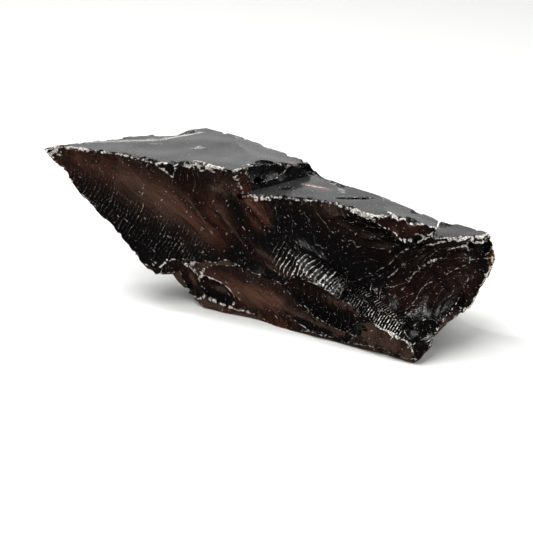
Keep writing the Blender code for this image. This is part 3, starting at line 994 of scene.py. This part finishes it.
def volcanic_glass(finish):
    """Obsidian: silica glass that cooled too fast to crystallise, freshly fractured.

    A fractured surface is as smooth as cast glass, so it is black with mirror-like reflections
    at a glancing angle. Bands of iron oxide turn it reddish brown, and the same colour paints in
    a warm reflection on faces that look down and forward. Bruised edges are crushed to white
    powder, crumbs of it lie on the surface as white dust and short scratches, and the crests of
    ripples are nicked white and painted white as glints. A grey on the tops paints in their sheen
    as well as their haze, and an orange-brown paints in light shining through thin places.
    """
    material = bpy.data.materials.new("obsidian volcanic glass")
    material.use_nodes = True
    tree = material.node_tree
    add = partial(add_node, tree)
    place = add("ShaderNodeTexCoord").outputs["Object"]
    given = {
        name: add("ShaderNodeAttribute", attribute_name=name).outputs["Fac"]
        for name in FINISHES + RIPPLE_VALUES
    }
    noise = {
        name: add(NOISE, {"Vector": place, "Scale": 1.0 / (size * MM), "Detail": detail})
        for name, (size, detail) in NOISES.items()
    }
    for name, (lengths, detail) in DRAWN_NOISES.items():
        drawn = along_grain(tree, place, lengths)
        noise[name] = add(NOISE, {"Vector": drawn, "Scale": 1.0, "Detail": detail})
    ramp = {name: add(RANGE, (noise[source], *ends)) for name, (source, *ends) in RAMPS.items()}
    shown = {
        name: add(MATH, (given[name], ramp[name]), operation="MULTIPLY") for name in BROKEN_UP
    }

    # Crushed glass reaches in from each edge, raggedly, and leaves much of the edge bare
    reach = add(MATH, (given["bruise"], ramp["reach"]), operation="MULTIPLY")
    inside = add(MATH, (reach, given["edge"]), operation="SUBTRACT")
    whole = add(MATH, (inside, CRUSH_SHARPNESS), operation="MULTIPLY", use_clamp=True)
    white = add(MATH, (whole, ramp["crumbs"]), operation="MULTIPLY")

    # Dust, powder and scratches both ways
    patchy = add(MATH, (noise["ragged"], DUST_SHARE), operation="MULTIPLY")
    many = add(MATH, (given["dust"], patchy), operation="MULTIPLY")
    few = add(MATH, (given["dust"], SCRATCH_SHARE), operation="MULTIPLY")
    lengthways = along_grain(tree, place, SCRATCH_CELL_MM)
    crossways = along_grain(tree, place, SCRATCH_CELL_MM, turned=True)
    for where, scale, share, largest, strength in (
        (place, 1.0 / (DUST_SPACING_MM * MM), many, DUST_GRAIN, DUST_WHITE),
        (place, 1.0 / (POWDER_SPACING_MM * MM), many, POWDER_GRAIN, POWDER_WHITE),
        (lengthways, 1.0, few, SCRATCH_WIDTH, SCRATCH_WHITE),
        (crossways, 1.0, few, SCRATCH_WIDTH, SCRATCH_WHITE),
    ):
        mark = grains(tree, where, scale, share, largest)
        faint = add(MATH, (mark, strength), operation="MULTIPLY")
        white = add(MATH, (white, faint), operation="MAXIMUM")

    # The sharp crests between the grooves of the ripples are nicked white, and also painted white
    # as glints of light, most of all on the ridge's ribs
    groove = add_grooves(tree, given["phase"])
    nicks = add(MATH, (ramp["nicks"], ramp["patches"]), operation="MULTIPLY")
    nicked = add(MATH, (nicks, given["crest"]), operation="MULTIPLY")
    crest = add(MATH, (groove, -CREST_SHARPNESS, nicked), operation="MULTIPLY_ADD", use_clamp=True)
    for mark in (crest, shown["scrape"]):
        white = add(MATH, (white, mark), operation="MAXIMUM")

    powder = {0: ramp["powder"], 6: linear(POWDER_SHADE), 7: list(finish.crushed_color)}
    color = linear(GLASS_BLACK)
    for share, tint in (
        (shown["mahogany_and_reflection"], list(finish.mahogany_and_reflection_color)),
        (shown["amber_glow"], linear(PAINTED_AMBER_GLOW)),
        (shown["haze_and_sheen"], linear(HAZE_AND_SHEEN_GREY)),
        (white, add(MIX, powder, data_type="RGBA")),
    ):
        color = add(MIX, {0: share, 6: color, 7: tint}, data_type="RGBA")
    satin = add(MIX, {0: given["haze_and_sheen"], 2: ramp["gloss"], 3: SATIN_ROUGHNESS})
    rough = add(MIX, {0: white, 2: satin, 3: POWDER_ROUGHNESS})

    relief = (noise["hackles"], HACKLE_RELIEF, noise["striations"])
    relief = add(MATH, relief, operation="MULTIPLY_ADD")
    relief = add(MATH, (relief, given["grain"]), operation="MULTIPLY")
    for mark, height in ((white, POWDER_RELIEF), (noise["fine"], FINE_RELIEF)):
        relief = add(MATH, (mark, height, relief), operation="MULTIPLY_ADD")
    bump = {"Height": relief, "Strength": BUMP_STRENGTH, "Distance": BUMP_MM * MM}
    bump = add("ShaderNodeBump", bump)
    surface = {"Base Color": color, "Roughness": rough, "Normal": bump, "IOR": GLASS_IOR}
    set_node_inputs(tree, tree.nodes["Principled BSDF"], surface)
    return material


# How far in the edges are bruised, in general and along the rims of the tops, and where those are
EDGE_BRUISE_MM = 0.20
RIM_BRUISE_MM = 0.5
BRUISED_RIM_Z = LOW_TOP - 3.0
BRUISED_RIM_Y = 12.0
# An edge farther away than this doesn't matter
FARTHEST_EDGE_MM = 4.0
# Iron-rich bands in the glass, which also paint in a warm reflection on the flute, the lower flank
# and the blunt end: their two ends, their reach in mm, and how strong they are
IRON_BANDS_AND_WARM_REFLECTION = (
    Crest((-78, -3, 54), (-26, -3, 38), 13.0, 0.85),
    Crest((-46, -2, 42), (-20, -3, 31), 8.0, 1.0),
    Crest((-30, -4, 12), (-2, -7, 8), 8.0, 2.2),
    Crest((-24, -2, 1), (6, -9, 1), 4.5, 1.6),
    Crest((46, -13, 20), (66, -11, 26), 10.0, 0.45),
    Crest((30, -15, 44), (52, -14, 44), 5.0, 0.5),
    Crest((-12, -7, 51), (-6, -8, 41), 7.0, 1.8),
)
# Edges that took more knocks: the two ends of the bruise, its reach and its width in mm
BRUISES = (
    Crest((-86, -4, 57), (-74, -4, 57), 7.0, 2.0),
    Crest((-34, -3, 57), (-15, -5, 57), 7.0, 2.4),
    Crest((-8, -8, 48), (10, -11, 48), 6.0, 1.3),
    Crest((14, -12, 48), (36, -14, 48), 6.0, 2.0),
    Crest((34, -12, 47), (53, -15, 48), 4.0, 1.3),
    Crest((61, -12, 41), (74, -4, 41), 4.0, 1.6),
    Crest((-45, -2, 21), (-37, -2, 14), 6.0, 0.7),
    Crest((-34, -1, 19), (-21, -3, 8), 5.0, 1.3),
    Crest((-31, 1, 5), (-12, -3, 3), 4.0, 0.8),
    Crest((44, -27, 10), (52, -28, 6), 4.0, 0.8),
    Crest((16, -20, 12), (47, -27, 9), 4.0, 0.9),
    Crest((58, -20, 6), (70, -9, 16), 6.0, 1.6),
    Crest((41, -13, 20), (50, -10, 28), 4.0, 0.7),
    Crest((50, -10, 28), (66, -10, 37), 4.0, 0.7),
    Crest((72, -7, 20), (77, -2, 34), 5.0, 1.8),
)
# What still counts as a top faces up this much. The tops are clean and smooth: their share of the
# dust and of the striations
TOP_FACES_UP = 0.7
TOP_DUST = 0.35
TOP_GRAIN = 0.06
# The tops are hazier towards the tip, a satin finish whose grey also paints in a sheen: places
# along X in mm, and how hazy they are there
HAZE_AND_SHEEN_ALONG = ((-10.0, 60.0), (0.4, 0.0))
# The walls of the steps broke clean, so their edges are hardly bruised
CLEAN_BREAKS = (
    "notch", "middle_step", "low_step", "back_bevel", "back_groove", "slit", "end_ledge"
)
# Fresh breaks into the black glass, clear of the iron-rich bands and of their painted warm
# reflection
UNSTAINED = ("foot_cut", "foot_cup", "heel_cup")
# White scrapes and creases: their two ends, their reach in mm and how strong they are
SCRAPES = (
    Crest((-78, 4.4, 58), (-49, 14.7, 58), 1.1, 0.9),
    Crest((-49, 14.7, 58), (-37, 27.5, 58), 1.1, 1.0),
    Crest((-35.3, 9.1, 58), (-30.8, 10.3, 58), 0.7, 0.9),
    Crest((-52, 10.0, 58), (-47.5, 11.2, 58), 0.6, 0.4),
    Crest((-22, 17.0, 56.5), (-20.5, 18.0, 56.2), 0.8, 0.9),
    Crest((7, 8, 48.4), (13, 6.2, 48.4), 0.9, 0.9),
    Crest((17.5, 10.5, 48.4), (21.5, 4.0, 48.4), 0.8, 0.8),
    Crest((14, 12.0, 48.4), (20, 10.0, 48.4), 0.6, 0.6),
)
# Thin or cracked places where light goes through the glass, painted in as an orange-brown glow
PAINTED_GLOW_SPOTS = (
    Crest((23.3, -20.5, 18.3), (24.5, -20.9, 17.0), 1.3, 1.2),
    Crest((25.8, -21.2, 16.6), (27, -21.6, 15.6), 1.3, 1.2),
    Crest((0, 13, 53.5), (2, 14, 54.5), 1.5, 0.8),
    Crest((4, 13, 54.0), (5, 14, 54.5), 1.2, 0.8),
    Crest((7, 8, 48.4), (16, 5, 48.4), 2.0, 0.7),
    Crest((75, -4, 28), (77, -3, 36), 3.0, 0.5),
)


def finish_values(stone, mesh):
    """Put what the material reads on the mesh, as numbers at its corners."""
    points = read_corners(mesh, "co") / MM
    _, _, owner = stone.survey(points)
    names = np.array(stone.names)[owner]
    on_top = np.isin(names, TOP_FACES) & (read_corners(mesh, "normal")[:, 2] > TOP_FACES_UP)
    rim = (points[:, 2] > BRUISED_RIM_Z) & (points[:, 1] < BRUISED_RIM_Y)
    rim &= ~on_top & ~np.isin(names, CLEAN_BREAKS)
    edge = np.minimum(nearest_edge(stone, points)[0], stone.terrace_edges(points, owner))
    bruise = np.where(rim, RIM_BRUISE_MM, EDGE_BRUISE_MM)
    values = (
        np.minimum(edge, FARTHEST_EDGE_MM),
        np.maximum(bruise, strongest(BRUISES, points)),
        np.where(on_top, TOP_DUST, 1.0),
        np.where(on_top, TOP_GRAIN, 1.0),
        on_top * np.interp(points[:, 0], *HAZE_AND_SHEEN_ALONG),
        strongest(IRON_BANDS_AND_WARM_REFLECTION, points) * ~on_top * ~np.isin(names, UNSTAINED),
        strongest(PAINTED_GLOW_SPOTS, points),
        strongest(SCRAPES, points),
    )
    for name, numbers in zip(FINISHES, values):
        add_values(mesh, name, numbers)


# --------------------------------------
# The studio
# --------------------------------------

ROOM_DIM = "#403e3e"
TABLE_WARM = "#6e5149"
CEILING_PALE = "#343436"
CARD_TAN = "#ffcfae"
LAMP_WHITE = "#ffffff"

CAMERA_AZIMUTH = 15.0
CAMERA_ELEVATION = 22.0
CAMERA_DISTANCE_MM = 700.0
CAMERA_TARGET_MM = (-3.0, -9.0, 23.0)
CAMERA_LENS = 135.08
FLOOR_SIZE = 8.0
PAPER_ROUGHNESS = 0.9

# Soft lights: their azimuth and elevation in degrees, their distance, width and height in metres,
# the setting that their brightness comes from and how many times it, their colour, and whether
# the glass reflects them
Lamp = namedtuple("Lamp", "azimuth elevation distance width height setting times color reflected")
LAMPS = {
    "overhead softbox": Lamp(-20, 62, 0.9, 0.7, 0.5, "key_brightness", 1.0, LAMP_WHITE, False),
    "background lamp": Lamp(180, 68, 1.2, 0.8, 0.8, "lamp_brightness", 1.0, LAMP_WHITE, False),
    "strip light": Lamp(74, 44, 0.8, 0.12, 0.4, "strip_brightness", 1.0, LAMP_WHITE, True),
    "ridge strip": Lamp(-92, 60, 0.8, 0.08, 0.5, "strip_brightness", 2.5, LAMP_WHITE, True),
    "low bounce card": Lamp(-52, -36, 0.9, 0.35, 0.35, "bounce_brightness", 1.0, CARD_TAN, True),
}
LAMP_TARGET = (0.0, 0.0, 0.02)

# What the glass reflects: the middle of the backdrop in degrees, and where the backdrop, the warm
# table and the pale ceiling begin and end, as cosines of the angle from their middle
BACKDROP = (195.0, 20.0)
BACKDROP_FADE = (-0.1, 0.75)
TABLE_FADE = (0.0, -0.35)
CEILING_FADE = (0.5, 0.85)


def direction(azimuth, elevation):
    """A unit vector from the stone: azimuth 0 is towards -Y and 90 towards +X, in degrees."""
    azimuth = math.radians(azimuth)
    elevation = math.radians(elevation)
    return Vector(
        (
            math.sin(azimuth) * math.cos(elevation),
            -math.cos(azimuth) * math.cos(elevation),
            math.sin(elevation),
        )
    )


def aim(thing, place, target):
    thing.location = place
    thing.rotation_euler = (Vector(target) - Vector(place)).to_track_quat("-Z", "Y").to_euler()


def add_lamp(studio, name, lamp):
    """Add a soft light; where the glass reflects it, it shows there as a bright panel."""
    data = bpy.data.lights.new(name, "AREA")
    data.shape = "RECTANGLE"
    data.size = lamp.width
    data.size_y = lamp.height
    radiance = getattr(studio, lamp.setting) * lamp.times
    data.energy = radiance * math.pi * lamp.width * lamp.height
    data.color = linear(lamp.color)[:3]
    light = bpy.data.objects.new(name, data)
    bpy.context.scene.collection.objects.link(light)
    light.visible_camera = False
    light.visible_glossy = lamp.reflected
    aim(light, direction(lamp.azimuth, lamp.elevation) * lamp.distance, LAMP_TARGET)


def studio_world(studio):
    """White backdrop light behind the stone, dim light on the camera's side, warm light below."""
    world = bpy.data.worlds.new("studio")
    bpy.context.scene.world = world
    world.use_nodes = True
    tree = world.node_tree
    add = partial(add_node, tree)
    way = add("ShaderNodeTexCoord").outputs["Generated"]
    behind = add(VECTOR_MATH, {0: way, 1: direction(*BACKDROP)}, operation="DOT_PRODUCT")
    height = add("ShaderNodeSeparateXYZ", (way,)).outputs["Z"]
    color = linear(ROOM_DIM)
    for share, other in (
        (
            add(RANGE, (behind, *BACKDROP_FADE), interpolation_type="SMOOTHSTEP"),
            [studio.backdrop_brightness] * 3 + [1.0],
        ),
        (add(RANGE, (height, *CEILING_FADE)), linear(CEILING_PALE)),
        (add(RANGE, (height, *TABLE_FADE), interpolation_type="SMOOTHSTEP"), linear(TABLE_WARM)),
    ):
        color = add(MIX, {0: share, 6: color, 7: other}, data_type="RGBA")
    set_node_inputs(tree, tree.nodes["Background"], {"Color": color})


def paper_floor(studio):
    bpy.ops.mesh.primitive_plane_add(size=FLOOR_SIZE)
    floor = bpy.context.object
    floor.name = "paper_floor"
    floor.visible_glossy = False
    material = bpy.data.materials.new("matt white paper")
    material.use_nodes = True
    surface = {"Base Color": list(studio.floor_color), "Roughness": PAPER_ROUGHNESS}
    set_node_inputs(material.node_tree, material.node_tree.nodes["Principled BSDF"], surface)
    floor.data.materials.append(material)
    return floor


def add_camera():
    data = bpy.data.cameras.new("camera")
    data.lens = CAMERA_LENS
    camera = bpy.data.objects.new("camera", data)
    bpy.context.scene.collection.objects.link(camera)
    target = Vector(CAMERA_TARGET_MM) * MM
    back = direction(CAMERA_AZIMUTH, CAMERA_ELEVATION)
    aim(camera, target + back * CAMERA_DISTANCE_MM * MM, target)
    bpy.context.scene.camera = camera


# --------------------------------------
# The add-on
# --------------------------------------


class StoneShape(bpy.types.PropertyGroup):
    cell: FloatProperty(
        name="Cell",
        description="Distance between the sample points that the mesh is drawn on",
        default=0.45 * MM,
        unit="LENGTH",
    )
    triangles: IntProperty(
        name="Triangles", description="The most triangles the stone may have", default=196000
    )
    undulation: FloatProperty(
        name="Undulation",
        description="How far the fracture faces rise and sink, in millimetres",
        default=0.25,
    )
    chips: IntProperty(
        name="Chips", description="Small flakes broken off the sharp edges", default=520
    )
    smallest_chip: FloatProperty(
        name="Smallest Chip", description="Radius of the smallest chip, in mm", default=0.8
    )
    largest_chip: FloatProperty(
        name="Largest Chip", description="Radius of the largest chip, in mm", default=3.2
    )


ColorProperty = partial(FloatVectorProperty, subtype="COLOR", size=4)


class StoneFinish(bpy.types.PropertyGroup):
    # The iron bands' colour, which also paints in a warm reflection
    mahogany_and_reflection_color: ColorProperty(
        name="Mahogany",
        description="Colour of the iron-rich bands in the glass",
        default=linear(MAHOGANY_AND_WARM_REFLECTION),
    )
    crushed_color: ColorProperty(
        name="Crushed Glass",
        description="Colour of bruised edges and glass crumbs",
        default=linear(CRUSHED_WHITE),
    )


class Studio(bpy.types.PropertyGroup):
    floor_color: ColorProperty(
        name="Floor", description="Colour of the paper floor", default=linear(PAPER_WHITE)
    )
    backdrop_brightness: FloatProperty(
        name="Backdrop", description="Brightness of the white light behind the stone", default=0.85
    )
    key_brightness: FloatProperty(
        name="Key Light", description="Brightness of the large soft light overhead", default=6.0
    )
    lamp_brightness: FloatProperty(
        name="Background Lamp", description="Brightness of the lamp on the far floor", default=1.6
    )
    strip_brightness: FloatProperty(
        name="Strip Lights", description="Brightness of the narrow glinting lights", default=10.0
    )
    bounce_brightness: FloatProperty(
        name="Bounce Card", description="Brightness of the card below on the left", default=1.5
    )


class OBSIDIAN_OT_stone(bpy.types.Operator):
    """Build the obsidian chunk"""

    bl_idname = "obsidian.stone"
    bl_label = "Build Stone"

    def execute(self, context):
        shape = context.scene.stone_shape
        stone = Stone(shape.undulation)
        low, high = (np.array(corner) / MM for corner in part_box(STONE))
        grid = Grid(low, high, shape.cell / MM)
        field = grid.sample(stone)
        chip_away(stone, grid, field, shape.chips, shape.smallest_chip, shape.largest_chip)
        drop_crumbs(field)
        corners, triangles = draw_surface(grid, field, stone.value)
        mesh = new_mesh("obsidian_stone", corners, triangles)
        thing = bpy.data.objects.new("obsidian_stone", mesh)
        context.scene.collection.objects.link(thing)
        for name, share in ripple_zones(stone, corners).items():
            add_values(mesh, name, share)
        for name in RIPPLE_VALUES:
            add_values(mesh, name, np.zeros(len(corners)))
        material = volcanic_glass(context.scene.stone_finish)
        raise_ripples(thing, material)
        flattened(thing)
        mesh = thin_out(thing, shape.triangles)
        for name in RIPPLES:
            mesh.attributes.remove(mesh.attributes[name])
        finish_values(stone, mesh)
        mesh.set_sharp_from_angle(angle=CREASE_ANGLE)
        if len(mesh.polygons) < FEWEST_TRIANGLES:
            raise RuntimeError("the stone's mesh has too few triangles")
        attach(thing, "root")
        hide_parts(STONE)
        return {"FINISHED"}


class OBSIDIAN_OT_studio(bpy.types.Operator):
    """Build the floor, the lights and the camera"""

    bl_idname = "obsidian.studio"
    bl_label = "Build Studio"

    def execute(self, context):
        studio = context.scene.studio
        studio_world(studio)
        paper_floor(studio)
        for name, lamp in LAMPS.items():
            add_lamp(studio, name, lamp)
        add_camera()
        context.scene.view_settings.view_transform = "Standard"
        return {"FINISHED"}


class OBSIDIAN_PT_panel(bpy.types.Panel):
    bl_idname = "OBSIDIAN_PT_panel"
    bl_label = "Obsidian Chunk"
    bl_space_type = "VIEW_3D"
    bl_region_type = "UI"
    bl_category = "Obsidian"

    def draw(self, context):
        for setting, group in GROUPS.items():
            box = self.layout.box()
            for name in group.__annotations__:
                box.prop(getattr(context.scene, setting), name)
        self.layout.operator("obsidian.stone")
        self.layout.operator("obsidian.studio")


GROUPS = {"stone_shape": StoneShape, "stone_finish": StoneFinish, "studio": Studio}
CLASSES = (*GROUPS.values(), OBSIDIAN_OT_stone, OBSIDIAN_OT_studio, OBSIDIAN_PT_panel)


def register():
    for item in CLASSES:
        bpy.utils.register_class(item)
    for setting, group in GROUPS.items():
        setattr(bpy.types.Scene, setting, PointerProperty(type=group))


def unregister():
    for setting in GROUPS:
        delattr(bpy.types.Scene, setting)
    for item in reversed(CLASSES):
        bpy.utils.unregister_class(item)


def main():
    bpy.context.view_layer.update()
    register()
    bpy.ops.obsidian.stone()
    bpy.ops.obsidian.studio()


if __name__ == "__main__":
    main()
